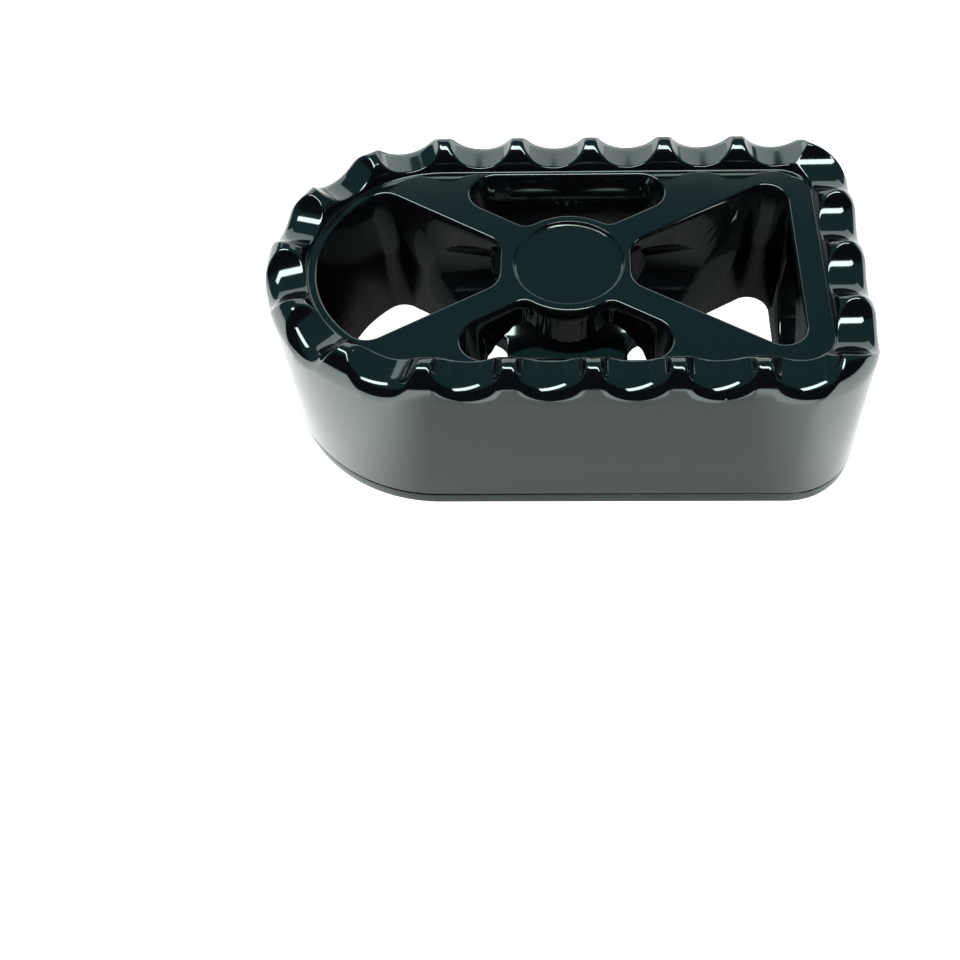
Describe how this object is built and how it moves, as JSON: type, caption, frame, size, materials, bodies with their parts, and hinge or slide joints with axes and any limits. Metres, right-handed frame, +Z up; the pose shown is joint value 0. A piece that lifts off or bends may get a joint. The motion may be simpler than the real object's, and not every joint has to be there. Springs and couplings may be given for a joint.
{
  "type": "toe peg",
  "caption": "D-shaped billet toe peg for a motorbike: rounded teeth all round its rim, sunk web with a round hub, windows and slots, cross-wise bore and a threaded end hole.",
  "frame": {"origin": "middle of the base, on the surface that the peg lies on", "axes": "+X along the length towards the square end with the threaded hole, +Z up through the teeth"},
  "size_m": [0.07, 0.04, 0.0242],
  "materials": {
    "anodised_black": "gloss black anodised"
  },
  "bodies": {
    "root": {"peg_body": "anodised_black"}
  },
  "joints": []
}
